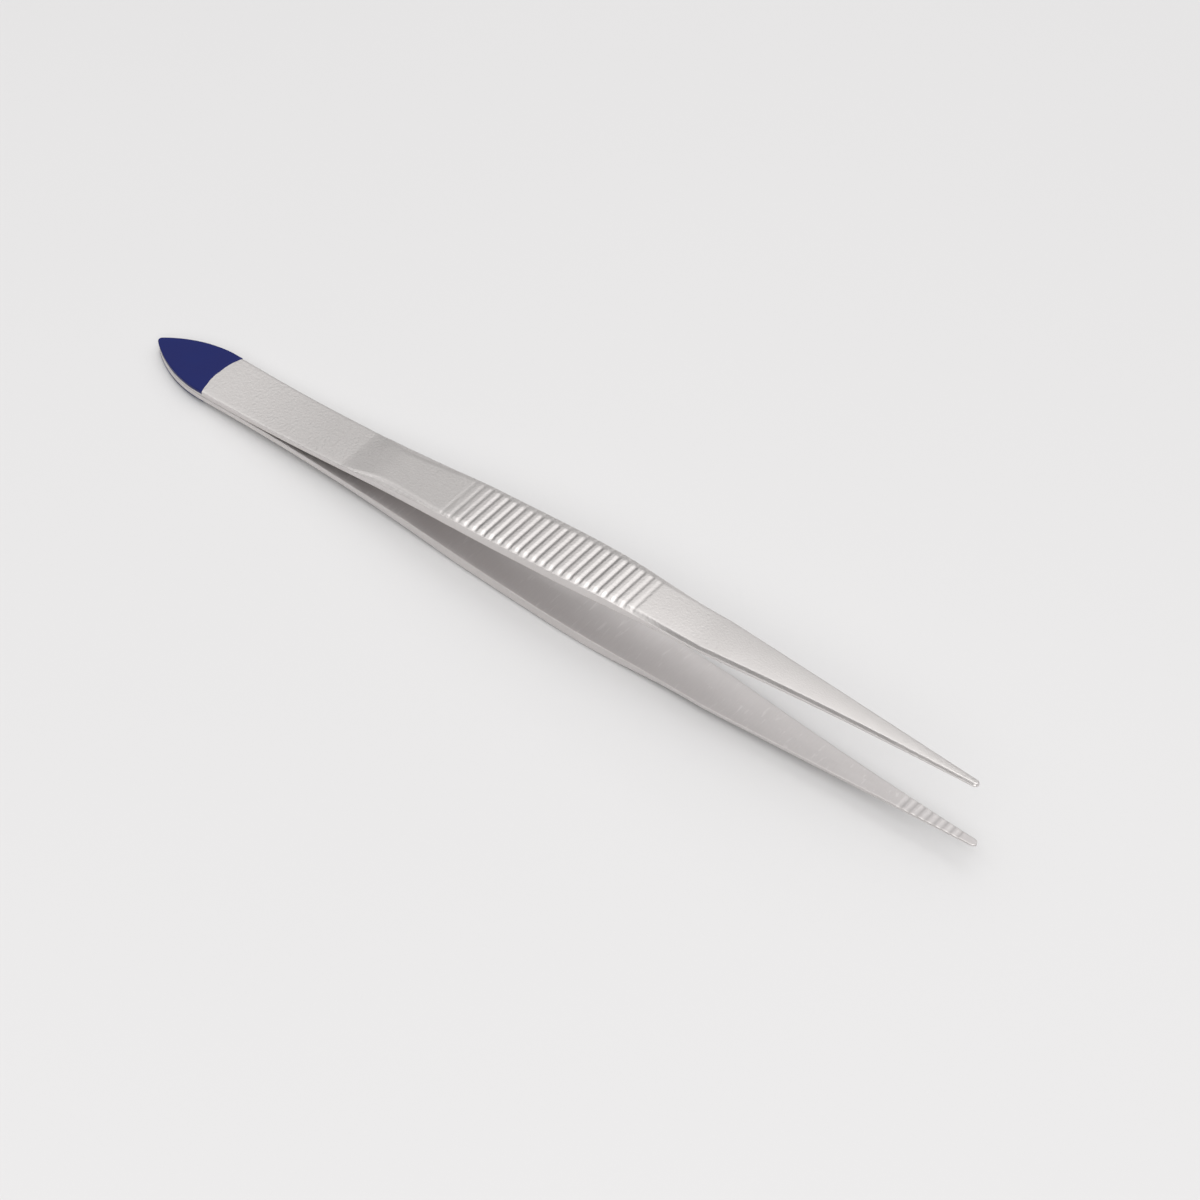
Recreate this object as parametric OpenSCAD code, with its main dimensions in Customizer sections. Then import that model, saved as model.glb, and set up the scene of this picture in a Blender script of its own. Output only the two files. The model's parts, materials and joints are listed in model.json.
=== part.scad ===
// Fine-point precision tweezers, straight, sprung open, lying on one arm. Millimetres.
// X runs from the heel to the points, Y across the arms, Z up from the surface they lie on.
// Both arms are mirror images. They are drawn about their own mid-plane and then laid down,
// so that the heel and the swell of the lower grip touch the surface.

/* [Overall] */
// Length from the heel to the points
length = 150; // [125:1:180]
// Opening between the points at rest
tip_gap = 11.8; // [8:0.2:14]

/* [Heel] */
// Width across the heel
heel_w = 8.9; // [7:0.1:11]
// Length of the pointed end, up to full width
nose_len = 12; // [9:0.5:15]
// Radius that blunts the very end
nose_r = 0.6; // [0.5:0.1:2.5]
// Thickness of one blank at the heel and along the spring
heel_t = 1; // [0.8:0.05:1.3]
// Distance from the heel to where the blanks part
joined_len = 16.5; // [15.5:0.5:20]
// Length over which they bend apart
bend_len = 17.5; // [14:0.5:22]
// Length of the thin spring, up to the raised body
spring_len = 23.5; // [20:0.5:28]

/* [Paint] */
// Length of the painted end along its middle
paint_len = 12; // [6:0.2:14]
// Thickness of the paint film
paint_t = 0.08; // [0.06:0.01:0.15]
// How far the paint runs on along the edges
paint_creep = 0.8; // [0:0.1:1]

/* [Welds] */
// Diameter of one weld nugget
weld_d = 3.4; // [2.5:0.1:4.5]
// Height of one weld nugget
weld_h = 0.9; // [0.4:0.1:1.2]
// Distance between the two nuggets
weld_pitch = 5.5; // [4.6:0.1:6]

/* [Body and grip] */
// Width at the waist, between spring and grip
waist_w = 8.1; // [6.5:0.1:9.5]
// Width across the grip
grip_w = 8.8; // [7:0.1:10]
// Thickness of the blank where the body starts
body_t = 1.2; // [1.1:0.05:1.7]
// Thickness of the blank at the grip
grip_t = 1.9; // [1.6:0.05:2.4]
// Length of the plain body, from the spring to the first groove
body_len = 19.4; // [16:0.2:26]
// Number of grip grooves
groove_count = 23; // [12:1:24]
// Distance from groove to groove
groove_pitch = 1.57; // [1.3:0.01:1.7]
// Width of one groove
groove_w = 1.14; // [0.6:0.02:1.2]
// Depth of one groove
groove_depth = 0.14; // [0.1:0.02:0.3]

/* [Jaw] */
// Length over which the grip narrows to the jaw
neck_len = 19.5; // [14:0.5:22]
// Width where the long taper starts
neck_w = 7; // [5.5:0.1:8.5]
// Thickness where the long taper starts
neck_t = 1.1; // [0.9:0.05:1.5]
// Width of the points
point_w = 1.2; // [0.6:0.05:1.6]
// How far the long taper is hollowed on each side
taper_hollow = 0.15; // [0:0.05:0.4]
// Thickness of the points
point_t = 0.6; // [0.45:0.05:0.9]
// Length of the parallel, serrated faces
jaw_len = 12; // [6:0.5:16]
// Distance from serration to serration
serration_pitch = 1.3; // [0.8:0.05:1.6]
// Depth of a serration
serration_depth = 0.06; // [0.05:0.01:0.15]

/* [Hidden] */
$fn = 64;

// Stations along the arm, counted from the heel
spread_x = joined_len + bend_len;                 // the arms are straight from here
step_x = joined_len + spring_len;                 // the thin spring ends, the raised body starts
flex_x = joined_len + 0.49 * spring_len;          // where a rigid arm would pivot to bend like the spring
waist_x = step_x + body_len / 3;                  // the narrowest place behind the grip
groove_x = step_x + body_len;                     // first groove
grip_start = groove_x + 2 * groove_pitch;
swell_x = groove_x + 12 * groove_pitch;           // the grip starts to narrow
grip_end = groove_x + (groove_count - 6) * groove_pitch;
neck_x = grip_end + neck_len;                     // the long taper starts
curl_x = groove_x + 8 * groove_pitch;             // the arms stop splaying and curl back
grip_x0 = groove_x - groove_pitch / 2;            // the grip solid starts before the first groove
grip_x1 = grip_x0 + groove_count * groove_pitch;  // and ends after the last
jaw_x = length - jaw_len;                         // the inner faces are parallel from here

// Small sizes
flex_gap = 0.1;                                   // gap between a heel and its arm, at the pivot
ramp = 8;                                         // length of the ramp up from the spring
edge = 0.12;                                      // ground edge of the heel and the spring
least_land = 0.04;                                // the land where it has closed up to the edge
body_land = 0.6;                                  // flat land outside the raised body
shoulder_w = 0.45;                                // slope from the land up to the raised body
shoulder_h = 0.22;
grip_edge = 0.9;                                  // eased edge of the grip
grip_drop = 0.36;
jaw_edge = 0.45;                                  // bevel along the jaw
point_edge = 0.3;                                 // bevel at the points
jaw_bevel_share = 0.45;                           // share of the jaw's thickness that the bevel takes
point_r = point_w / 2;                            // the points are rounded in plan
coarse = 3;                                       // spacing of the sections on plain stretches

// A step from 0 to 1 between x0 and x1, straight or with soft ends
function ramp01(x, x0, x1) = min(1, max(0, (x - x0) / (x1 - x0)));
function soft01(x, x0, x1) = let (u = ramp01(x, x0, x1)) u * u * (3 - 2 * u);
function mix(a, b, u) = a + (b - a) * u;

// Half-gap between the inner faces. The splay grows along the spring, stays the same along the
// body, then shrinks to nothing at the jaw, so the half-gap is the sum of those three stretches.
splay = tip_gap / 2 / (bend_len / 2 + (curl_x - spread_x) + (jaw_x - curl_x) / 2);
function inner_z(x) =
    let (a = min(max(x - joined_len, 0), bend_len),
         b = min(max(x - spread_x, 0), curl_x - spread_x),
         c = min(max(x - curl_x, 0), jaw_x - curl_x))
    splay * (a * a / 2 / bend_len + b + c - c * c / 2 / (jaw_x - curl_x));

// Thickness of the blank
function thickness(x) =
    x < step_x ? heel_t
    : x < grip_end ? mix(mix(heel_t, body_t, soft01(x, step_x, step_x + ramp)), grip_t,
                         ramp01(x, step_x, grip_start))
    : x < neck_x ? mix(grip_t, neck_t, soft01(x, grip_end, neck_x))
    : mix(neck_t, point_t, pow(ramp01(x, neck_x, length), 2));
function outer_z(x) = inner_z(x) + thickness(x);

// Half-width of the blank: a pointed end of two arcs with a blunt nose, a straight heel, a waist,
// the grip, and a long taper to rounded points
nose_arc = (pow(nose_len - nose_r, 2) + pow(heel_w / 2, 2) - pow(nose_r, 2)) / (heel_w - 2 * nose_r);
nose_join = nose_r - nose_r * (nose_len - nose_r) / (nose_arc - nose_r);
function taper_w(u) = mix(neck_w, point_w, u) / 2 - 4 * taper_hollow * u * (1 - u);
function half_w(x) =
    x < nose_join ? sqrt(max(0, pow(nose_r, 2) - pow(nose_r - x, 2)))
    : x < nose_len ? sqrt(pow(nose_arc, 2) - pow(nose_len - x, 2)) - nose_arc + heel_w / 2
    : x < waist_x ? mix(heel_w, waist_w, ramp01(x, nose_len, waist_x)) / 2
    : x < swell_x ? mix(waist_w, grip_w, soft01(x, waist_x, grip_start + 6 * groove_pitch)) / 2
    : x < neck_x ? mix(grip_w, neck_w, soft01(x, swell_x, neck_x)) / 2
    : x < length - point_r ? taper_w(ramp01(x, neck_x, length - point_r))
    : max(0.3 * point_r, sqrt(max(0, pow(point_r, 2) - pow(x - length + point_r, 2))));

// Outer edges: a small ground edge on the spring, a land and a shoulder along the raised body, an
// eased edge along the grip, and a bevel along the jaw
function land(x) =
    mix(least_land, body_land, soft01(x, step_x, step_x + ramp) * (1 - soft01(x, step_x + ramp, groove_x)));
function bevel_w(x) =
    x < groove_x ? mix(edge, shoulder_w, soft01(x, step_x, step_x + ramp))
    : x < grip_end ? mix(shoulder_w, grip_edge, soft01(x, groove_x, groove_x + 6 * groove_pitch))
    : x < neck_x ? mix(grip_edge, jaw_edge, soft01(x, grip_end, neck_x))
    : mix(jaw_edge, point_edge, ramp01(x, neck_x, length)) * min(1, half_w(x) / point_r);
function bevel_h(x) =
    x < groove_x ? mix(edge, shoulder_h, soft01(x, step_x, step_x + ramp))
    : x < grip_end ? mix(shoulder_h, grip_drop, soft01(x, groove_x, groove_x + 6 * groove_pitch))
    : mix(grip_drop, jaw_bevel_share * thickness(x), soft01(x, grip_end, neck_x));

// Depth of the grip grooves and of the jaw serrations
function dip(x, centre, w) = max(0, 1 - pow(2 * (x - centre) / w, 2));
function groove(x) =
    let (k = min(max(round((x - groove_x) / groove_pitch), 0), groove_count - 1))
    groove_depth * dip(x, groove_x + k * groove_pitch, groove_w);
serration_count = floor((jaw_len - 1) / serration_pitch);
function serration(x) =
    let (k = min(max(round((x - jaw_x) / serration_pitch), 0), serration_count - 1))
    serration_depth * dip(x, jaw_x + k * serration_pitch, 0.7 * serration_pitch);

// Section across one arm: inner face, side, land, shoulder or bevel, and crown, then back again
function section(x) =
    let (w = half_w(x), a = min(land(x), w / 4), b = bevel_w(x), z0 = inner_z(x), z1 = outer_z(x),
         side = [[w, z0 + serration(x)],
                 [w, z1 - bevel_h(x)],
                 [w - a, z1 - bevel_h(x)],
                 [w - a - b, z1 - groove(x)]])
    concat([for (p = side) [x, p[0], p[1]]],
           [for (i = [len(side) - 1 : -1 : 0]) [x, -side[i][0], side[i][1]]]);

// Sections of the four stretches of one arm
function body_stations() = concat(
    [flex_x + flex_gap / 2],
    [for (x = [flex_x + coarse : coarse : step_x - 1]) x],
    [for (u = [0 : 0.25 : 1]) step_x + u * ramp],
    [for (x = [step_x + ramp + coarse : coarse : grip_x0 - 1]) x],
    [grip_x0]);
function grip_stations() = concat(
    [grip_x0],
    [for (k = [0 : groove_count - 1], u = [-0.5, -0.28, 0, 0.28, 0.5])
        groove_x + k * groove_pitch + u * groove_w],
    [grip_x1]);
function neck_stations() = concat(
    [for (x = [grip_x1 : coarse : neck_x - 1]) x],
    [neck_x]);
function jaw_stations() = concat(
    [for (x = [neck_x : coarse : jaw_x - serration_pitch]) x],
    [for (k = [0 : serration_count - 1], u = [-0.35, 0, 0.35]) jaw_x + (k + u) * serration_pitch],
    [for (a = [0 : 22.5 : 90]) length - point_r + point_r * sin(a)]);

// A closed skin over a row of sections
module skin(rings) {
    n = len(rings[0]);
    last = len(rings) - 1;
    polyhedron(
        points = [for (ring = rings, p = ring) p],
        faces = concat(
            [[for (i = [0 : n - 1]) i]],
            [for (r = [0 : last - 1], i = [0 : n - 1])
                [r * n + i, (r + 1) * n + i, (r + 1) * n + (i + 1) % n, r * n + (i + 1) % n]],
            [[for (i = [n - 1 : -1 : 0]) last * n + i]]));
}

// Plan outline of the heel end, cut off square at x1, with close points round the nose
function nose_stations() = concat(
    [for (a = [0 : 22.5 : 90]) nose_join * (1 - cos(a))],
    [for (x = [nose_join + 1 : 1 : nose_len]) x]);
module plan(x1) {
    xs = concat([for (x = nose_stations()) if (x < x1 - 0.5) x], [x1]);
    polygon(concat([for (x = xs) [x, -half_w(x)]],
                   [for (i = [len(xs) - 1 : -1 : 1]) [xs[i], half_w(xs[i])]]));
}

// Lay the pair down. It turns up about the heel until the swell of the lower grip touches the
// surface, and its box is then centred over the origin.
heel_low = heel_t + paint_t;
lay_angle = max([for (x = [joined_len : 0.5 : length]) atan((outer_z(x) - heel_low) / x)]);
box_x0 = -heel_low * sin(lay_angle);
box_x1 = length * cos(lay_angle) + (inner_z(length) + thickness(length)) * sin(lay_angle);
module lay() {
    translate([-(box_x0 + box_x1) / 2, 0, heel_low * cos(lay_angle)])
        rotate([0, -lay_angle, 0])
            children();
}
module lower_side() {
    mirror([0, 0, 1])
        children();
}

// Heel end of one blank, with a pocket for half of each weld nugget
module heel() {
    x1 = flex_x - flex_gap / 2;
    xs = concat([0, joined_len], [for (x = [joined_len + 2 : 2 : x1 - 1]) x], [x1]);
    difference() {
        intersection() {
            linear_extrude(2 * heel_t + tip_gap)
                plan(x1);
            rotate([90, 0, 0])
                linear_extrude(heel_w + 2, center = true)
                    polygon(concat([for (x = xs) [x, inner_z(x)]],
                                   [for (i = [len(xs) - 1 : -1 : 0]) [xs[i], outer_z(xs[i])]]));
        }
        nuggets();
    }
}

// Weld nuggets, centred on the joint between the blanks
module nuggets() {
    first_x = nose_len / 2 - 0.5;
    for (k = [0, 1])
        translate([first_x + k * weld_pitch, 0, 0])
            cylinder(h = weld_h, d = weld_d, center = true);
}

// Paint film on the outer face of the heel, its edge drawn on along both sides
module paint() {
    rim = 0.05;
    ys = [for (i = [-8 : 8]) i / 8 * heel_w / 2];
    translate([0, 0, heel_t])
        linear_extrude(paint_t)
            intersection() {
                offset(delta = -rim)
                    plan(paint_len + 2 * paint_creep);
                polygon(concat([[-1, heel_w], [-1, -heel_w]],
                               [for (y = ys) [paint_len + paint_creep * pow(2 * y / heel_w, 2), y]]));
            }
}

// One stretch of an arm. Each stretch starts on the very section that ends the one before.
module stretch(xs) {
    skin([for (x = xs) section(x)]);
}

module upper_heel() {
    color("silver") lay() heel();
}
module lower_heel() {
    color("silver") lay() lower_side() heel();
}
module weld_nuggets() {
    color("dimgray") lay() nuggets();
}
module upper_paint() {
    color("midnightblue") lay() paint();
}
module lower_paint() {
    color("midnightblue") lay() lower_side() paint();
}
module upper_body() {
    color("silver") lay() stretch(body_stations());
}
module upper_grip() {
    color("silver") lay() stretch(grip_stations());
}
module upper_neck() {
    color("silver") lay() stretch(neck_stations());
}
module upper_jaw() {
    color("silver") lay() stretch(jaw_stations());
}
module lower_body() {
    color("silver") lay() lower_side() stretch(body_stations());
}
module lower_grip() {
    color("silver") lay() lower_side() stretch(grip_stations());
}
module lower_neck() {
    color("silver") lay() lower_side() stretch(neck_stations());
}
module lower_jaw() {
    color("silver") lay() lower_side() stretch(jaw_stations());
}

upper_heel();
lower_heel();
weld_nuggets();
upper_paint();
lower_paint();
upper_body();
upper_grip();
upper_neck();
upper_jaw();
lower_body();
lower_grip();
lower_neck();
lower_jaw();
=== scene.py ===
# %% [markdown]
# # Fine-point precision tweezers
# A pair of straight tweezers is about the simplest spring tool there is: two steel blanks, bent in
# mirror image, welded together at the heel and sprung open. Almost everything the eye enjoys is in
# the steel itself: where it is thick and where it is thin, how its edges are eased, the ribbed grip,
# and the satin finish that turns every small change of slope into a change of grey.
#
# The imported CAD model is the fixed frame. It says where the blanks are and how they bend. This
# lesson builds the two blanks again as fine meshes over the same dimensions, adds the details that
# a plain solid leaves out, and gives each surface the finish its making leaves.

# %% Load the frame
import json
import math

import bpy
from mathutils import Matrix, Vector


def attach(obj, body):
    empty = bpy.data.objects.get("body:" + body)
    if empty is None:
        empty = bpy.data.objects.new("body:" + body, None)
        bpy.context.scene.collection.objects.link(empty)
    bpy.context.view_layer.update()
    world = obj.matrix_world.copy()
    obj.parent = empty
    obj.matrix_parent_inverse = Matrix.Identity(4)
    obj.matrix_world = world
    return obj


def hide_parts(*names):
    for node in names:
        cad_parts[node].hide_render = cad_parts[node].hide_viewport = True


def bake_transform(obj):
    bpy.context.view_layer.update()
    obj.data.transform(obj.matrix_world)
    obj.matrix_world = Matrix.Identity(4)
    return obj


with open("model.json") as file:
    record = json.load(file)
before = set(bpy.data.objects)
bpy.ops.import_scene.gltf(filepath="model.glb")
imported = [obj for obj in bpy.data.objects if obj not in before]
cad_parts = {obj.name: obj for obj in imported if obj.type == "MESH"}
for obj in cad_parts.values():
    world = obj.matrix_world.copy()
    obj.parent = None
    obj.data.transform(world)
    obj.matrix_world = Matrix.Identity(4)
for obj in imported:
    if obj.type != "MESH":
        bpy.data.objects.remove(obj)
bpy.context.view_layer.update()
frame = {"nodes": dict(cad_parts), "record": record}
print("nodes:", sorted(frame["nodes"]))

# %% [markdown]
# ## Where the mid-plane lies
# The pair lies on its lower arm, so its mid-plane is tipped up a few degrees. Both blanks are mirror
# images about that plane, and it is far easier to draw one blank flat and lay it down afterwards
# than to draw it tilted. The frame holds what is needed: the flat faces of the heel are mounts, and
# their normals give the tilt, while the heel's own solids show where the length starts.

# %% Read the lay of the pair from the frame
MM = 0.001

mounts = {m["name"]: m for m in frame["record"]["mounts"]}
heel_normal = Vector(mounts["upper_heel_flat"]["axis"]).normalized()
along = Vector((heel_normal.z, 0, -heel_normal.x))
mid_heel = (Vector(mounts["upper_heel_flat"]["pos_m"]) +
            Vector(mounts["lower_heel_flat"]["pos_m"])) / 2


def reach(names):
    """How far the named CAD nodes reach along the mid-plane, from the heel mounts, in metres."""
    spans = [(v.co - mid_heel).dot(along) for name in names for v in frame["nodes"][name].data.vertices]
    return min(spans), max(spans)


heel_end = reach(["upper_heel", "lower_heel"])[0]
point_end = reach(["upper_jaw", "lower_jaw"])[1]
heel_tip = mid_heel + heel_end * along
length = round((point_end - heel_end) / MM, 2)
print("tilt in degrees:", round(math.degrees(math.asin(along.z)), 3), "length in mm:", length)


def laid(x, y, z):
    """A point of the flat drawing, in mm from the heel tip, as it lies in the row frame, in metres."""
    return heel_tip + (x * along + Vector((0, y, 0)) + z * heel_normal) * MM


# %% [markdown]
# ## The blank in numbers
# A tweezer blank is stamped from strip, bent, and then ground. The grinding makes the shape: the
# heel and the spring are thin so that the arm can bend, the raised body behind the grip stays thick
# so that it does not, and the jaw is ground away again to a point. These are the same driving
# dimensions as the CAD model's, in millimetres, counted from the heel.

# %% Driving dimensions of one blank
HEEL_W, NOSE_LEN, NOSE_R, HEEL_T = 8.9, 12.0, 0.6, 1.0
JOINED_LEN, BEND_LEN, SPRING_LEN, BODY_LEN = 16.5, 17.5, 23.5, 19.4
TIP_GAP = 11.8
WAIST_W, GRIP_W, BODY_T, GRIP_T = 8.1, 8.8, 1.2, 1.9
GROOVES, GROOVE_PITCH, GROOVE_W, GROOVE_DEPTH = 23, 1.57, 1.14, 0.14
NECK_LEN, NECK_W, NECK_T = 19.5, 7.0, 1.1
POINT_W, POINT_T, TAPER_HOLLOW, JAW_LEN = 1.2, 0.6, 0.15, 12.0
SERRATION_PITCH, SERRATION_DEPTH, SERRATION_SHARE = 1.3, 0.06, 0.7
RAMP = 8.0

spread_x = JOINED_LEN + BEND_LEN
step_x = JOINED_LEN + SPRING_LEN
waist_x = step_x + BODY_LEN / 3
groove_x = step_x + BODY_LEN
grip_start = groove_x + 2 * GROOVE_PITCH
curl_x = groove_x + 8 * GROOVE_PITCH
swell_x = groove_x + 12 * GROOVE_PITCH
grip_end = groove_x + (GROOVES - 6) * GROOVE_PITCH
neck_x = grip_end + NECK_LEN
jaw_x = length - JAW_LEN
point_r = POINT_W / 2
print("body, grooves, neck and jaw start at:", step_x, groove_x, round(neck_x, 2), jaw_x)

# %% [markdown]
# ## The curves that make the blank
# A long tapering part like this is a loft: a cross-section that changes as it travels. A few curves
# drive it, each a short function of the distance from the heel: half the width, the height of the
# inner face, and the thickness. Keeping them as functions means that the mesh can be sampled as
# finely as the grooves need, without a table of points. The step up to the body is eased over eight
# millimetres, as blasting leaves it. A short step would draw a dark bar across the arm.


# %% Width, bend and thickness
def ramp(x, x0, x1):
    return min(1.0, max(0.0, (x - x0) / (x1 - x0)))


def soft(x, x0, x1):
    u = ramp(x, x0, x1)
    return u * u * (3 - 2 * u)


def mix(a, b, u):
    return a + (b - a) * u


nose_arc = ((NOSE_LEN - NOSE_R) ** 2 + (HEEL_W / 2) ** 2 - NOSE_R**2) / (HEEL_W - 2 * NOSE_R)
nose_join = NOSE_R - NOSE_R * (NOSE_LEN - NOSE_R) / (nose_arc - NOSE_R)
splay = TIP_GAP / 2 / (BEND_LEN / 2 + (curl_x - spread_x) + (jaw_x - curl_x) / 2)


def half_width(x):
    if x < nose_join:
        return math.sqrt(max(0.0, NOSE_R**2 - (NOSE_R - x) ** 2))
    if x < NOSE_LEN:
        return math.sqrt(nose_arc**2 - (NOSE_LEN - x) ** 2) - nose_arc + HEEL_W / 2
    if x < waist_x:
        return mix(HEEL_W, WAIST_W, ramp(x, NOSE_LEN, waist_x)) / 2
    if x < swell_x:
        return mix(WAIST_W, GRIP_W, soft(x, waist_x, grip_start + 6 * GROOVE_PITCH)) / 2
    if x < neck_x:
        return mix(GRIP_W, NECK_W, soft(x, swell_x, neck_x)) / 2
    if x < length - point_r:
        u = ramp(x, neck_x, length - point_r)
        return mix(NECK_W, POINT_W, u) / 2 - 4 * TAPER_HOLLOW * u * (1 - u)
    return math.sqrt(max(0.0, point_r**2 - (x - length + point_r) ** 2))


def inner_height(x):
    a = min(max(x - JOINED_LEN, 0), BEND_LEN)
    b = min(max(x - spread_x, 0), curl_x - spread_x)
    c = min(max(x - curl_x, 0), jaw_x - curl_x)
    return splay * (a * a / 2 / BEND_LEN + b + c - c * c / 2 / (jaw_x - curl_x))


def thickness(x):
    if x < grip_end:
        body = mix(HEEL_T, BODY_T, soft(x, step_x, step_x + RAMP))
        return mix(body, GRIP_T, ramp(x, step_x, grip_start))
    if x < neck_x:
        return mix(GRIP_T, NECK_T, soft(x, grip_end, neck_x))
    return mix(NECK_T, POINT_T, ramp(x, neck_x, length) ** 2)


for x in (5, 30, 50, 75, 110, 148):
    print(x, "mm: half-width", round(half_width(x), 2), "inner", round(inner_height(x), 2),
          "thickness", round(thickness(x), 2))

# %% [markdown]
# ## The edges change as they go
# Along the spring the edge is only just broken. The body is a raised panel: it stands about a fifth
# of a millimetre above a flat land, and the slope between them shows as one dark line that runs into
# the edge at the grip. Along the grip the edge is eased by nearly a millimetre, where the fingers lie.
# On the jaw it becomes a plain bevel that takes a little over half of the thickness, slightly steeper
# than the CAD model's, because the cambered crown takes some of its height away.

# %% Land, slope and drop of the outer edges
EDGE = 0.12
LEAST_LAND, BODY_LAND = 0.04, 0.6
SHOULDER_W, SHOULDER_H = 0.45, 0.22
GRIP_EDGE, GRIP_DROP = 0.9, 0.36
JAW_EDGE, POINT_EDGE, JAW_BEVEL_SHARE = 0.42, 0.28, 0.53


def edge_shape(x):
    """Width of the land, width of the slope and height of the slope, in mm."""
    body = soft(x, step_x, step_x + RAMP)
    grip = soft(x, groove_x, groove_x + 6 * GROOVE_PITCH)
    jaw = soft(x, grip_end, neck_x)
    land = mix(LEAST_LAND, BODY_LAND, body * (1 - soft(x, step_x + RAMP, groove_x)))
    bevel = mix(JAW_EDGE, POINT_EDGE, ramp(x, neck_x, length))
    slope = mix(mix(mix(EDGE, SHOULDER_W, body), GRIP_EDGE, grip), bevel, jaw)
    drop = mix(mix(mix(EDGE, SHOULDER_H, body), GRIP_DROP, grip), JAW_BEVEL_SHARE * thickness(x), jaw)
    room = half_width(x)
    return min(land, room / 4), min(slope, 0.5 * room), drop


print("edge on the body and on the grip:", [[round(v, 2) for v in edge_shape(x)] for x in (46, 80)])

# %% [markdown]
# ## Grooves and serrations
# The grip is milled with a ribbed cutter straight across the crown. Each trough keeps its depth onto
# the eased edge and dies away over it, which leaves a scalloped line along the arm. The first and the
# last few troughs are shallower, because the crown falls away there. The jaw's serrations are much
# finer. Bump mapping could fake both, but they show in the outline and catch real highlights, so they
# are modelled. Blasting rounds the lips of the troughs, hence the cosine.

# %% Depth of the troughs in the crown and in the inner face
FIRST_DEPTHS = (0.15, 0.35, 0.55, 0.75, 0.9)
LAST_DEPTHS = (0.5, 0.75, 0.9)


def groove_depth(x):
    k = min(max(round((x - groove_x) / GROOVE_PITCH), 0), GROOVES - 1)
    share = FIRST_DEPTHS[k] if k < len(FIRST_DEPTHS) else 1.0
    from_last = GROOVES - 1 - k
    share = min(share, LAST_DEPTHS[from_last] if from_last < len(LAST_DEPTHS) else 1.0)
    across = 2 * (x - groove_x - k * GROOVE_PITCH) / GROOVE_W
    return GROOVE_DEPTH * share * (1 + math.cos(math.pi * min(1.0, abs(across)))) / 2


serration_count = int((JAW_LEN - 1) / SERRATION_PITCH)


def serration_depth(x):
    k = min(max(round((x - jaw_x) / SERRATION_PITCH), 0), serration_count - 1)
    across = 2 * (x - jaw_x - k * SERRATION_PITCH) / (SERRATION_SHARE * SERRATION_PITCH)
    return SERRATION_DEPTH * max(0.0, 1 - across**2)


print("grooves:", GROOVES, "serrations:", serration_count)

# %% [markdown]
# ## One cross-section
# No edge of a finished tool is sharp: barrel polishing leaves a small radius on each. That radius
# draws the thin light and dark lines along the arms, so each corner becomes a short curve. The crown
# is a little cambered too, most of all on the jaw, and that is why the jaw is lighter on one side
# than on the other. Every section has the same number of points, so neighbours join one to one.

# %% The section at one station
CORNER_STEPS = 4
SLOPE_STEPS = 4
CROWN_STEPS = 12
INNER_STEPS = 6
INNER_R, SIDE_R, FOOT_R = 0.16, 0.08, 0.1
CROWN_R, JAW_CROWN_R = 0.3, 0.1
CAMBER, JAW_CAMBER = 0.02, 0.1
CAMBER_FADE_W = 3  # under this half-width the camber fades
LEAST_HALF_W = 0.02  # the sections at the very ends keep this much
LONGEST_CUT = 0.45  # share of a short side that a corner may take
RUNOUT = 1.6  # a trough is at full depth from slope / RUNOUT in from the side


def rounded(before, corner, after, radius):
    """Points of a short curve that cuts a corner off."""
    a, b = before - corner, after - corner
    start = corner + a.normalized() * min(radius, LONGEST_CUT * a.length)
    end = corner + b.normalized() * min(radius, LONGEST_CUT * b.length)
    ts = [i / CORNER_STEPS for i in range(CORNER_STEPS + 1)]
    return [start * (1 - t) ** 2 + corner * 2 * t * (1 - t) + end * t * t for t in ts]


def between(a, b, steps):
    """Points strictly between two points."""
    return [a.lerp(b, i / steps) for i in range(1, steps)]


def half_section(x):
    """(y, z) points of one half of the section, from the middle of the inner face to the crown."""
    w = max(half_width(x), LEAST_HALF_W)
    land, slope, drop = edge_shape(x)
    z0, z1 = inner_height(x), inner_height(x) + thickness(x)
    camber = mix(CAMBER, JAW_CAMBER, soft(x, grip_end, neck_x)) * min(1.0, w / CAMBER_FADE_W)
    middle, low = Vector((0, z0)), Vector((w, z0))
    side, foot = Vector((w, z1 - drop)), Vector((w - land, z1 - drop))
    crown, centre = Vector((w - land - slope, z1 - camber)), Vector((0, z1))
    low_curve = rounded(middle, low, side, INNER_R)
    side_curve = rounded(low, side, foot, SIDE_R)
    foot_curve = rounded(side, foot, crown, FOOT_R)
    crown_curve = rounded(foot, crown, centre, mix(CROWN_R, JAW_CROWN_R, soft(x, grip_end, neck_x)))
    inner = [low_curve[0] * (i / INNER_STEPS) + middle * (1 - i / INNER_STEPS)
             for i in range(INNER_STEPS)]
    edge = crown_curve[-1]
    outer = []
    for i in range(1, CROWN_STEPS + 1):
        y = edge.x * (1 - i / CROWN_STEPS)
        outer.append(Vector((y, z1 + (edge.y - z1) * (y / edge.x) ** 2)))
    rise = foot_curve + between(foot_curve[-1], crown_curve[0], SLOPE_STEPS) + crown_curve + outer
    dip = groove_depth(x)
    rise = [Vector((p.x, p.y - dip * min(1.0, RUNOUT * (w - p.x) / slope))) for p in rise]
    cut = serration_depth(x)
    inner = [Vector((p.x, p.y + cut)) for p in inner]
    low_curve = [Vector((p.x, p.y + cut * (1 - ramp(p.y, z0, z0 + INNER_R)))) for p in low_curve]
    return inner + low_curve + side_curve + rise


print("points in one half-section:", len(half_section(75)))

# %% [markdown]
# ## Stations along the blank
# Where nothing happens the sections can stand nearly a millimetre apart. Across the grooves they need
# to be a tenth of a millimetre apart, so that each trough is smooth. The ends are blunt and round, and
# there the stations follow a cosine, which packs them closer towards the very end.


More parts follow.
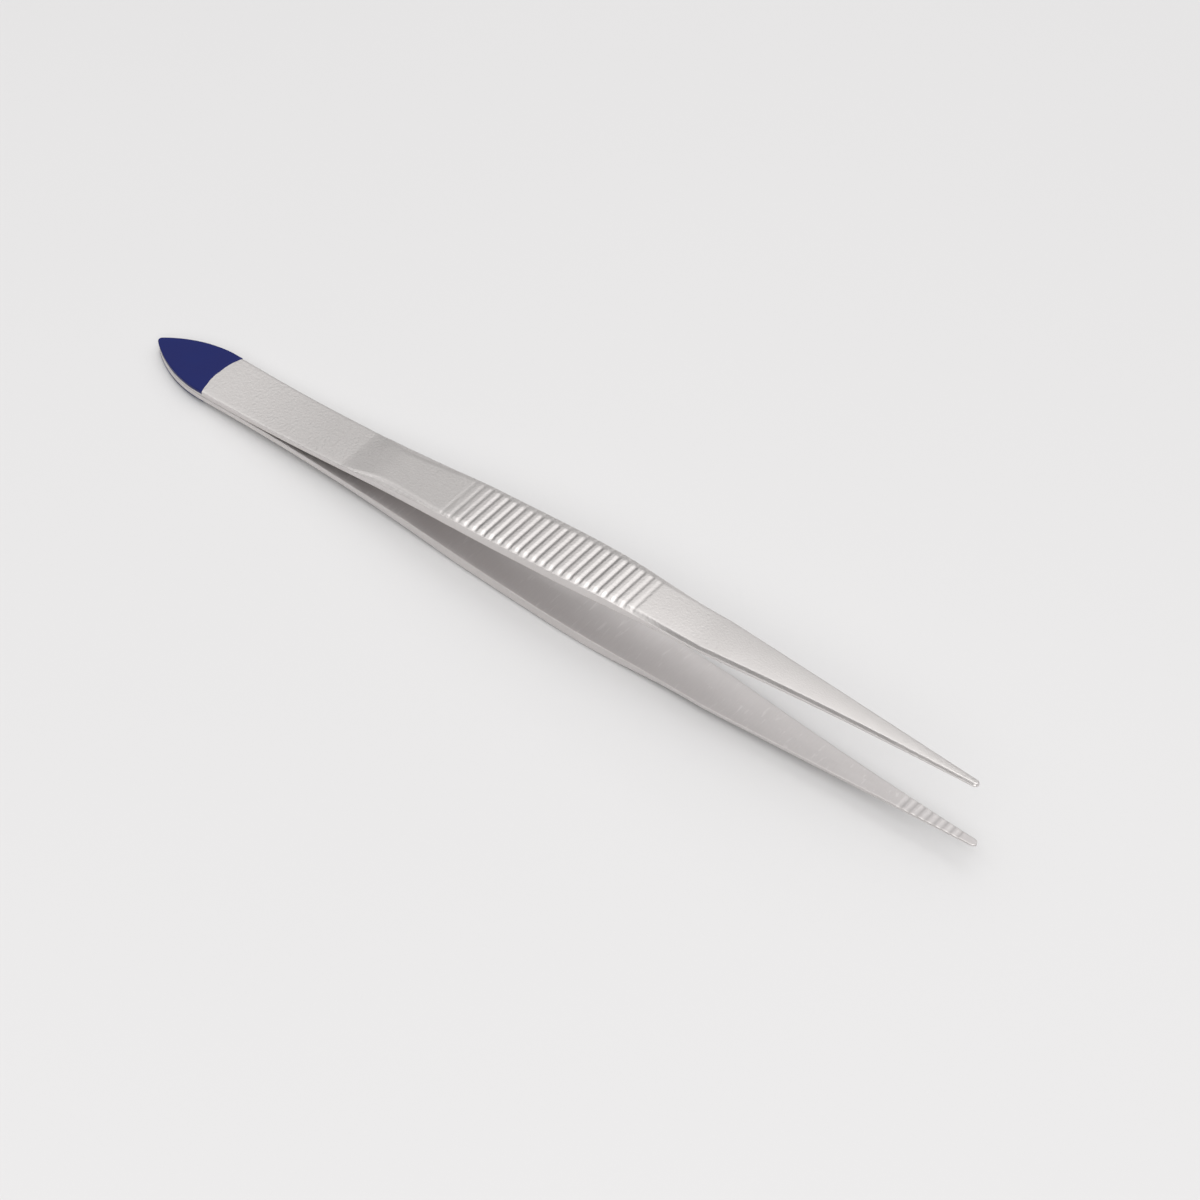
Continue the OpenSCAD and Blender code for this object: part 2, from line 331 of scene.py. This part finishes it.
# %% Choose the stations
NOSE_STEP, PLAIN_STEP, RAMP_STEP = 0.5, 0.8, 0.2
RAMP_MARGIN = 0.5
STATIONS_PER_GROOVE, STATIONS_PER_SERRATION = 14, 12
END_STEP = 6  # degrees between the stations of a round end


def spaced(x0, x1, step):
    n = max(1, math.ceil((x1 - x0) / step))
    return [x0 + (x1 - x0) * i / n for i in range(n)]


def blank_stations():
    xs = [nose_join * (1 - math.cos(math.radians(a))) for a in range(4, 90, END_STEP)]
    xs += spaced(nose_join, NOSE_LEN, NOSE_STEP)
    ramp_from, ramp_to = step_x - RAMP_MARGIN, step_x + RAMP + RAMP_MARGIN
    grooves_from, grooves_to = groove_x - GROOVE_W, groove_x + GROOVES * GROOVE_PITCH
    serrations_from = jaw_x - SERRATION_PITCH
    xs += spaced(NOSE_LEN, ramp_from, PLAIN_STEP)
    xs += spaced(ramp_from, ramp_to, RAMP_STEP)
    xs += spaced(ramp_to, grooves_from, PLAIN_STEP)
    xs += spaced(grooves_from, grooves_to, GROOVE_PITCH / STATIONS_PER_GROOVE)
    xs += spaced(grooves_to, serrations_from, PLAIN_STEP)
    xs += spaced(serrations_from, length - point_r, SERRATION_PITCH / STATIONS_PER_SERRATION)
    xs += [length - point_r * (1 - math.sin(math.radians(a))) for a in range(0, 88, END_STEP)]
    return xs


stations = blank_stations()
print("stations:", len(stations), "from", round(stations[0], 3), "to", round(stations[-1], 3))

# %% [markdown]
# ## From sections to a mesh
# Each section becomes a closed ring, and four-sided faces join ring to ring. The two ends close with
# a fan of triangles. A UV map to scale, a hundredth for each millimetre, goes on at the same time: U
# runs along the arm and V round it. The finish is drawn with it later, and so it stays on the steel
# when the arm bends. The inner face keeps a material slot of its own, because it is ground and not
# blasted.


# %% Build one blank
UV_PER_MM = 0.01
TYPICAL_X = 75  # in the grip, where the section is fullest


def ring(x, side):
    """One closed section, counted round from the middle of the inner face."""
    half = half_section(x)
    right = [laid(x, y, side * z) for y, z in half]
    left = [laid(x, -y, side * z) for y, z in reversed(half[1:-1])]
    return right + left


def girth(x):
    """Distance round the section at each ring point, in mm, measured on a typical section."""
    half = half_section(x)
    flat = [Vector(p) for p in half] + [Vector((-y, z)) for y, z in reversed(half[1:-1])]
    total = [0.0]
    for a, b in zip(flat, flat[1:] + flat[:1]):
        total.append(total[-1] + (b - a).length)
    return total


def build_blank(name, side):
    rings = [ring(x, side) for x in stations]
    count = len(rings[0])
    verts = [p for r in rings for p in r]
    faces = []
    for r in range(len(rings) - 1):
        for i in range(count):
            j = (i + 1) % count
            quad = [r * count + i, r * count + j, (r + 1) * count + j, (r + 1) * count + i]
            faces.append(quad if side > 0 else quad[::-1])
    heel_centre = len(verts)
    tip_x = stations[-1]
    verts.append(laid(0, 0, side * thickness(0) / 2))
    verts.append(laid(length, 0, side * (inner_height(tip_x) + thickness(tip_x) / 2)))
    last = (len(rings) - 1) * count
    for i in range(count):
        j = (i + 1) % count
        heel_face = [heel_centre, j, i]
        tip_face = [heel_centre + 1, last + i, last + j]
        faces.append(heel_face if side > 0 else heel_face[::-1])
        faces.append(tip_face if side > 0 else tip_face[::-1])
    mesh = bpy.data.meshes.new(name)
    mesh.from_pydata(verts, [], faces)
    add_uvs(mesh, count)
    mesh.validate()
    obj = bpy.data.objects.new(name, mesh)
    bpy.context.scene.collection.objects.link(obj)
    return obj


def add_uvs(mesh, count):
    """U along the arm and V round the section."""
    round_at = girth(TYPICAL_X)
    uv = mesh.uv_layers.new(name="UVMap")
    for poly in mesh.polygons:
        poly.use_smooth = True
        inner = 0
        vs = []
        for loop_index in poly.loop_indices:
            v = mesh.loops[loop_index].vertex_index
            station, spot = divmod(v, count)
            if station >= len(stations):
                station, spot = (0 if v == len(mesh.vertices) - 2 else len(stations) - 1), 0
            vs.append((loop_index, station, spot))
            inner += spot <= INNER_STEPS or spot >= count - INNER_STEPS
        wraps = max(s for _, _, s in vs) - min(s for _, _, s in vs) > count / 2
        for loop_index, station, spot in vs:
            turn = count if wraps and spot == 0 else spot
            uv.data[loop_index].uv = (stations[station] * UV_PER_MM, round_at[turn] * UV_PER_MM)
        poly.material_index = 1 if inner == len(vs) else 0


upper_blank = build_blank("upper_blank", 1)
lower_blank = build_blank("lower_blank", -1)
print("vertices in one blank:", len(upper_blank.data.vertices))

# %% [markdown]
# ## The painted heel
# The pointed end is dipped or brushed with a dark blue enamel. Wet enamel stands a little proud of
# the face, creeps further along the edges than in the middle, and laps over the edge onto the side.
# The upper film laps further than the lower one. A flat patch would look like a printed sticker, so
# the film is a thin shell: its outer skin runs over the face, round the corner and down the side, and
# an inner skin just inside the steel closes it.

# %% Outer and inner skin of the paint
PAINT_LEN, PAINT_T, PAINT_CREEP, PAINT_ROLL = 12.0, 0.08, 0.8, 0.22
UPPER_LAP, LOWER_LAP, LAP_T = 0.6, 0.15, 0.035
PAINT_BITE = 0.05  # how far the inner skin lies inside the steel
PAINT_START = 0.02  # where the first row of the film lies
PAINT_ROWS, FACE_COLUMNS, SIDE_COLUMNS = 44, 28, 5


def paint_end(y):
    wobble = 0.03 * math.sin(1.7 * y + 0.6) + 0.015 * math.sin(4.1 * y)
    return PAINT_LEN + PAINT_CREEP * (2 * y / HEEL_W) ** 2 + wobble


def crept(x, y, u):
    """Where a point x from the nose lands once the film has crept along the edges."""
    return mix(x, paint_end(y) * x / PAINT_LEN, u)


def film_section(x, u, skin, lap):
    """(y, z) points across the film at one station: up one side, over the face, down the other."""
    to_end = (1 - u) * PAINT_LEN
    rise = math.sqrt(1 - (1 - min(1.0, to_end / PAINT_ROLL)) ** 2)
    w = half_width(crept(x, half_width(x), u))
    if skin == "outer":
        top = HEEL_T + PAINT_T * rise
        edge = min(w + LAP_T * rise, HEEL_W / 2)
    else:
        top = HEEL_T - PAINT_BITE
        edge = max(w - PAINT_BITE, 0.01)
    corner = min(EDGE, edge / 2)
    flat = edge - corner
    face = [Vector((flat * (2 * i / FACE_COLUMNS - 1), top)) for i in range(FACE_COLUMNS + 1)]
    down = []
    for i in range(1, SIDE_COLUMNS + 1):
        turn = min(1.0, 2 * i / SIDE_COLUMNS) * math.pi / 2
        drop = corner * (1 - math.cos(turn)) + max(0.0, 2 * i / SIDE_COLUMNS - 1) * (lap - corner)
        down.append(Vector((flat + corner * math.sin(turn), top - drop)))
    return [Vector((-p.x, p.y)) for p in reversed(down)] + face + down


print("points across the film:", len(film_section(6, 0.5, "outer", UPPER_LAP)))


# %% Build the paint films
def film_sheet(side, skin):
    lap = UPPER_LAP if side > 0 else LOWER_LAP
    verts = []
    for row in range(PAINT_ROWS + 1):
        u = (1 - math.cos(math.pi * row / PAINT_ROWS)) / 2
        x = mix(PAINT_START, PAINT_LEN, u)
        for y, z in film_section(x, u, skin, lap):
            verts.append(laid(crept(x, y, u), y, side * z))
    return verts


def build_film(name, side):
    outer, inner = film_sheet(side, "outer"), film_sheet(side, "inner")
    width = len(outer) // (PAINT_ROWS + 1)
    faces = []
    for row in range(PAINT_ROWS):
        for column in range(width - 1):
            a = row * width + column
            quad = [a, a + width, a + width + 1, a + 1]
            faces.append(quad)
            faces.append([len(outer) + q for q in reversed(quad)])
    rim = list(range(width)) + [r * width + width - 1 for r in range(1, PAINT_ROWS + 1)]
    rim += [PAINT_ROWS * width + c for c in range(width - 2, -1, -1)]
    rim += [r * width for r in range(PAINT_ROWS - 1, 0, -1)]
    for a, b in zip(rim, rim[1:] + rim[:1]):
        faces.append([a, b, len(outer) + b, len(outer) + a])
    if side < 0:
        faces = [face[::-1] for face in faces]
    mesh = bpy.data.meshes.new(name)
    mesh.from_pydata(outer + inner, [], faces)
    mesh.validate()
    for poly in mesh.polygons:
        poly.use_smooth = True
    obj = bpy.data.objects.new(name, mesh)
    bpy.context.scene.collection.objects.link(obj)
    return obj


upper_film = build_film("upper_paint_film", 1)
lower_film = build_film("lower_paint_film", -1)
print("vertices in one film:", len(upper_film.data.vertices))

# %% [markdown]
# ## Materials
# One small function turns a hex colour into the linear numbers that a shader wants, and one adds a
# node with its settings and links. Everything else is the recipe of each finish. Bump distances are
# in metres.


# %% Two helpers for materials
def linear(hex_colour):
    """Linear RGBA from an sRGB hex string."""
    parts = [int(hex_colour[i:i + 2], 16) / 255 for i in (0, 2, 4)]
    return [p / 12.92 if p <= 0.04045 else ((p + 0.055) / 1.055) ** 2.4 for p in parts] + [1.0]


def node(tree, kind, settings=None, links=None):
    """Adds a node. Settings name its properties or input sockets; links join sockets to its inputs."""
    made = tree.nodes.new(kind)
    for key, value in (settings or {}).items():
        if isinstance(key, int) or key in made.inputs:
            made.inputs[key].default_value = value
        else:
            setattr(made, key, value)
    for key, source in (links or {}).items():
        tree.links.new(source, made.inputs[key])
    return made


def new_material(name):
    material = bpy.data.materials.new(name)
    material.use_nodes = True
    material.node_tree.nodes.clear()
    return material, material.node_tree


# %% [markdown]
# ## Satin blasted steel
# The outer faces are martensitic stainless steel, bead blasted and then lightly brushed along the
# arm. Blasting leaves a dense field of tiny dents: it spreads every reflection into a soft glow, and
# that is why the arm looks pale grey and not like a mirror. Real dents are about 0.03 mm across and
# too fine to show, so the grain here is drawn at 0.4 mm. Slow patches in the roughness stand for
# the uneven hand of the polisher.


# %% Satin blasted steel
def satin_steel():
    material, tree = new_material("satin_blasted_steel")
    uv = node(tree, "ShaderNodeTexCoord").outputs["UV"]
    patch = node(tree, "ShaderNodeTexNoise", {"Scale": 18.0, "Detail": 3.0, "Roughness": 0.55},
                 {"Vector": uv})
    lines_at = node(tree, "ShaderNodeMapping", {"Scale": (12.0, 900.0, 1.0)}, {"Vector": uv})
    lines = node(tree, "ShaderNodeTexNoise", {"Scale": 1.0, "Detail": 4.0, "Roughness": 0.6},
                 {"Vector": lines_at.outputs[0]})
    grain = node(tree, "ShaderNodeTexNoise", {"Scale": 250.0, "Detail": 3.0, "Roughness": 0.7},
                 {"Vector": uv})
    rough = node(tree, "ShaderNodeMapRange",
                 {"From Min": 0.3, "From Max": 0.7, "To Min": 0.34, "To Max": 0.44},
                 {"Value": patch.outputs["Fac"]})
    tone = node(tree, "ShaderNodeMixRGB", {"Color1": linear("DFDBD9"), "Color2": linear("D8D4D2")},
                {"Fac": patch.outputs["Fac"]})
    line_bump = node(tree, "ShaderNodeBump", {"Strength": 0.2, "Distance": 0.00002},
                     {"Height": lines.outputs["Fac"]})
    grain_bump = node(tree, "ShaderNodeBump", {"Strength": 1.0, "Distance": 0.00005},
                      {"Height": grain.outputs["Fac"], "Normal": line_bump.outputs[0]})
    shader = node(tree, "ShaderNodeBsdfPrincipled", {"Metallic": 1.0},
                  {"Base Color": tone.outputs[0], "Roughness": rough.outputs[0],
                   "Normal": grain_bump.outputs[0]})
    node(tree, "ShaderNodeOutputMaterial", links={"Surface": shader.outputs[0]})
    return material


# %% [markdown]
# ## Ground steel
# The inner faces are ground across the arm, on a wheel, and never blasted. Fine furrows lie across
# the blank and a few of them are deeper and catch the light; that light is painted into the colour
# as a few paler streaks, a painted highlight. The furrows scatter more than the blasted dents do,
# so the inner face is duller and a shade darker than the outer one.


# %% Ground steel
def ground_steel():
    material, tree = new_material("cross_ground_steel")
    uv = node(tree, "ShaderNodeTexCoord").outputs["UV"]
    patch = node(tree, "ShaderNodeTexNoise", {"Scale": 14.0, "Detail": 3.0, "Roughness": 0.6},
                 {"Vector": uv})
    lines_at = node(tree, "ShaderNodeMapping", {"Scale": (420.0, 30.0, 1.0)}, {"Vector": uv})
    lines = node(tree, "ShaderNodeTexNoise", {"Scale": 1.0, "Detail": 5.0, "Roughness": 0.65},
                 {"Vector": lines_at.outputs[0]})
    # Painted highlight: a few paler streaks across the ground face stand in for light caught by deeper
    # furrows.
    glint_streaks_at = node(tree, "ShaderNodeMapping", {"Scale": (160.0, 22.0, 1.0)}, {"Vector": uv})
    glint_streaks = node(tree, "ShaderNodeTexNoise", {"Scale": 1.0, "Detail": 2.0, "Roughness": 0.5},
                 {"Vector": glint_streaks_at.outputs[0]})
    painted_glint = node(tree, "ShaderNodeMapRange",
                {"From Min": 0.6, "From Max": 0.75, "To Min": 0.0, "To Max": 0.6},
                {"Value": glint_streaks.outputs["Fac"]})
    rough = node(tree, "ShaderNodeMapRange",
                 {"From Min": 0.3, "From Max": 0.7, "To Min": 0.5, "To Max": 0.6},
                 {"Value": patch.outputs["Fac"]})
    tone = node(tree, "ShaderNodeMixRGB", {"Color1": linear("D7D3D2"), "Color2": linear("CDC9C8")},
                {"Fac": lines.outputs["Fac"]})
    painted_glint_mix = node(tree, "ShaderNodeMixRGB", {"Color2": linear("E6E3E2")},
                  {"Fac": painted_glint.outputs[0], "Color1": tone.outputs[0]})
    bump = node(tree, "ShaderNodeBump", {"Strength": 0.3, "Distance": 0.00003},
                {"Height": lines.outputs["Fac"]})
    shader = node(tree, "ShaderNodeBsdfPrincipled", {"Metallic": 1.0},
                  {"Base Color": painted_glint_mix.outputs[0], "Roughness": rough.outputs[0],
                   "Normal": bump.outputs[0]})
    node(tree, "ShaderNodeOutputMaterial", links={"Surface": shader.outputs[0]})
    return material


# %% [markdown]
# ## Blue enamel
# A brushed-on lacquer is a dielectric over pigment: nearly all of its colour is the pigment's, and
# the light it mirrors is white and weak. It dries with a faint orange-peel ripple of about half a
# millimetre, and it is not quite even, because a brush leaves it thinner in some places.


# %% Blue enamel
def blue_enamel():
    material, tree = new_material("brushed_on_enamel")
    at = node(tree, "ShaderNodeTexCoord").outputs["Object"]
    patch = node(tree, "ShaderNodeTexNoise", {"Scale": 300.0, "Detail": 3.0, "Roughness": 0.5},
                 {"Vector": at})
    peel = node(tree, "ShaderNodeTexNoise", {"Scale": 1800.0, "Detail": 2.0, "Roughness": 0.5},
                {"Vector": at})
    tone = node(tree, "ShaderNodeMixRGB", {"Color1": linear("030F55"), "Color2": linear("0A1A5C")},
                {"Fac": patch.outputs["Fac"]})
    rough = node(tree, "ShaderNodeMapRange",
                 {"From Min": 0.3, "From Max": 0.7, "To Min": 0.3, "To Max": 0.42},
                 {"Value": patch.outputs["Fac"]})
    bump = node(tree, "ShaderNodeBump", {"Strength": 0.3, "Distance": 0.00003},
                {"Height": peel.outputs["Fac"]})
    shader = node(tree, "ShaderNodeBsdfPrincipled", {"IOR": 1.5, "Specular IOR Level": 0.25},
                  {"Base Color": tone.outputs[0], "Roughness": rough.outputs[0],
                   "Normal": bump.outputs[0]})
    node(tree, "ShaderNodeOutputMaterial", links={"Surface": shader.outputs[0]})
    return material


# %% Put the finishes on
steel = satin_steel()
inner_steel = ground_steel()
enamel = blue_enamel()
for blank in (upper_blank, lower_blank):
    blank.data.materials.append(steel)
    blank.data.materials.append(inner_steel)
for film in (upper_film, lower_film):
    film.data.materials.append(enamel)
nuggets = frame["nodes"]["weld_nuggets"]
nuggets.data.materials.clear()
nuggets.data.materials.append(inner_steel)

# %% [markdown]
# ## Hanging the pieces on the frame
# Each blank is one piece of steel, but the CAD model bends it at one hinge. Here each blank stays
# where it was built, over the frame, and the CAD stretches that it replaces are hidden. The paint
# films ride on the heel in place of the CAD paint.

# %% Ride and replace
STRETCHES = ("heel", "body", "grip", "neck", "jaw")
for piece, side in ((upper_blank, "upper"), (lower_blank, "lower")):
    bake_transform(piece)
    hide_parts(*[side + "_" + stretch for stretch in STRETCHES])
for piece, film in ((upper_film, "upper_paint"), (lower_film, "lower_paint")):
    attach(piece, "heel")
    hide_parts(film)

# %% [markdown]
# ## The table, the light and the camera
# A pale matt floor and a soft tent of light, as small tools are usually shown. Satin steel is only as
# good as what it reflects, so the world is not one flat white: it is bright overhead and dark low
# down, and the bevels pick that darkness up. A faint card low at the back lifts the far edges.


# %% Floor
FLOOR_REACH = 3.0
FLOOR_DROP = 0.0001  # keeps the floor clear of the arm that lies on it


def build_floor():
    mesh = bpy.data.meshes.new("floor")
    far = FLOOR_REACH
    corners = [(-far, -far, 0), (far, -far, 0), (far, far, 0), (-far, far, 0)]
    mesh.from_pydata(corners, [], [(0, 1, 2, 3)])
    obj = bpy.data.objects.new("floor", mesh)
    bpy.context.scene.collection.objects.link(obj)
    material, tree = new_material("matt_card")
    at = node(tree, "ShaderNodeTexCoord").outputs["Object"]
    mottle = node(tree, "ShaderNodeTexNoise", {"Scale": 6.0, "Detail": 2.0}, {"Vector": at})
    tone = node(tree, "ShaderNodeMixRGB", {"Color1": linear("DCDBDB"), "Color2": linear("D9D8D8")},
                {"Fac": mottle.outputs["Fac"]})
    shader = node(tree, "ShaderNodeBsdfPrincipled", {"Roughness": 0.9, "Specular IOR Level": 0.2},
                  {"Base Color": tone.outputs[0]})
    node(tree, "ShaderNodeOutputMaterial", links={"Surface": shader.outputs[0]})
    mesh.materials.append(material)
    obj.location.z = -FLOOR_DROP


build_floor()


# %% [markdown]
# ## A light tent
# Steel shows whatever stands round it, so the tent matters more than the lamp. Here it is one big lit
# cloth overhead: full brightness within twenty-six degrees of its middle, a skirt of about half that
# out to fifty-two degrees, then a quick fall to dark. Flat faces look at the skirt, the eased near
# edge of the grip looks into the bright part, and a steep bevel looks at the dark below it. Seen from
# straight above, the flat faces look into the bright part and come out nearly white.
#
# Each stop below is the cosine of the angle from the middle, and the brightness there.

# %% World light
TENT_MIDDLE = (0.0, 0.05, 0.999)
TENT_STRENGTH = 1.7
TENT_FALL = ((0.0, 0.12), (0.25, 0.09), (0.45, 0.09), (0.55, 0.3), (0.62, 0.6),
             (0.74, 0.5), (0.8, 0.52), (0.9, 1.0), (1.0, 1.0))
BACK_CARD = (-0.35, 0.93, 0.1)
BACK_CARD_SHARE = 0.3


def build_world():
    world = bpy.data.worlds.new("light_tent")
    world.use_nodes = True
    tree = world.node_tree
    tree.nodes.clear()
    direction = node(tree, "ShaderNodeTexCoord").outputs["Generated"]
    towards = node(tree, "ShaderNodeVectorMath", {"operation": "DOT_PRODUCT", 1: TENT_MIDDLE},
                   {0: direction})
    fall = node(tree, "ShaderNodeValToRGB", links={"Fac": towards.outputs["Value"]})
    stops = fall.color_ramp.elements
    for place, share in TENT_FALL[1:-1]:
        stops.new(place).color = (share, share, share, 1)
    for end in (0, -1):
        share = TENT_FALL[end][1]
        stops[end].color = (share, share, share, 1)
    behind = node(tree, "ShaderNodeVectorMath", {"operation": "DOT_PRODUCT", 1: BACK_CARD},
                  {0: direction})
    card = node(tree, "ShaderNodeMapRange",
                {"From Min": 0.75, "From Max": 0.95, "To Max": BACK_CARD_SHARE},
                {"Value": behind.outputs["Value"]})
    light = node(tree, "ShaderNodeMath", {"operation": "MAXIMUM"},
                 {0: fall.outputs[0], 1: card.outputs[0]})
    background = node(tree, "ShaderNodeBackground", {"Strength": TENT_STRENGTH},
                      {"Color": light.outputs[0]})
    node(tree, "ShaderNodeOutputWorld", links={"Surface": background.outputs[0]})
    bpy.context.scene.world = world


build_world()

# %% [markdown]
# ## A fill from the front
# The tent alone leaves a wide grey shadow under the front of the pair. A soft box near the viewer
# fills it, and its own shadow falls behind the steel, where it is hidden.


# %% Fill light
def soft_box(name, place, size, power):
    data = bpy.data.lights.new(name, "AREA")
    data.shape = "SQUARE"
    data.size = size
    data.energy = power
    obj = bpy.data.objects.new(name, data)
    obj.location = place
    obj.rotation_euler = (-Vector(place)).to_track_quat("-Z", "Y").to_euler()
    bpy.context.scene.collection.objects.link(obj)


FILL_AT, FILL_SIZE, FILL_POWER = (0.49, -0.61, 0.91), 0.8, 5.5
soft_box("front_fill", FILL_AT, FILL_SIZE, FILL_POWER)

# %% Camera
AZIMUTH, ELEVATION, ROLL = math.radians(39.02), math.radians(49.15), math.radians(0.65)
DISTANCE = 0.5946
AIM = Vector((0.00887, 0.00116, 0.00393))
FIELD_OF_VIEW = math.radians(16.12)


def build_camera():
    back = Vector((math.sin(AZIMUTH) * math.cos(ELEVATION), -math.cos(AZIMUTH) * math.cos(ELEVATION),
                   math.sin(ELEVATION)))
    level = Vector((math.cos(AZIMUTH), math.sin(AZIMUTH), 0))
    upright = back.cross(level)
    right = math.cos(ROLL) * level + math.sin(ROLL) * upright
    up = back.cross(right)
    data = bpy.data.cameras.new("camera")
    data.angle = FIELD_OF_VIEW
    data.clip_start, data.clip_end = 0.01, 20
    obj = bpy.data.objects.new("camera", data)
    matrix = Matrix((right, up, back)).transposed().to_4x4()
    matrix.translation = AIM + back * DISTANCE
    obj.matrix_world = matrix
    bpy.context.scene.collection.objects.link(obj)
    bpy.context.scene.camera = obj


build_camera()
bpy.context.scene.view_settings.view_transform = "Standard"
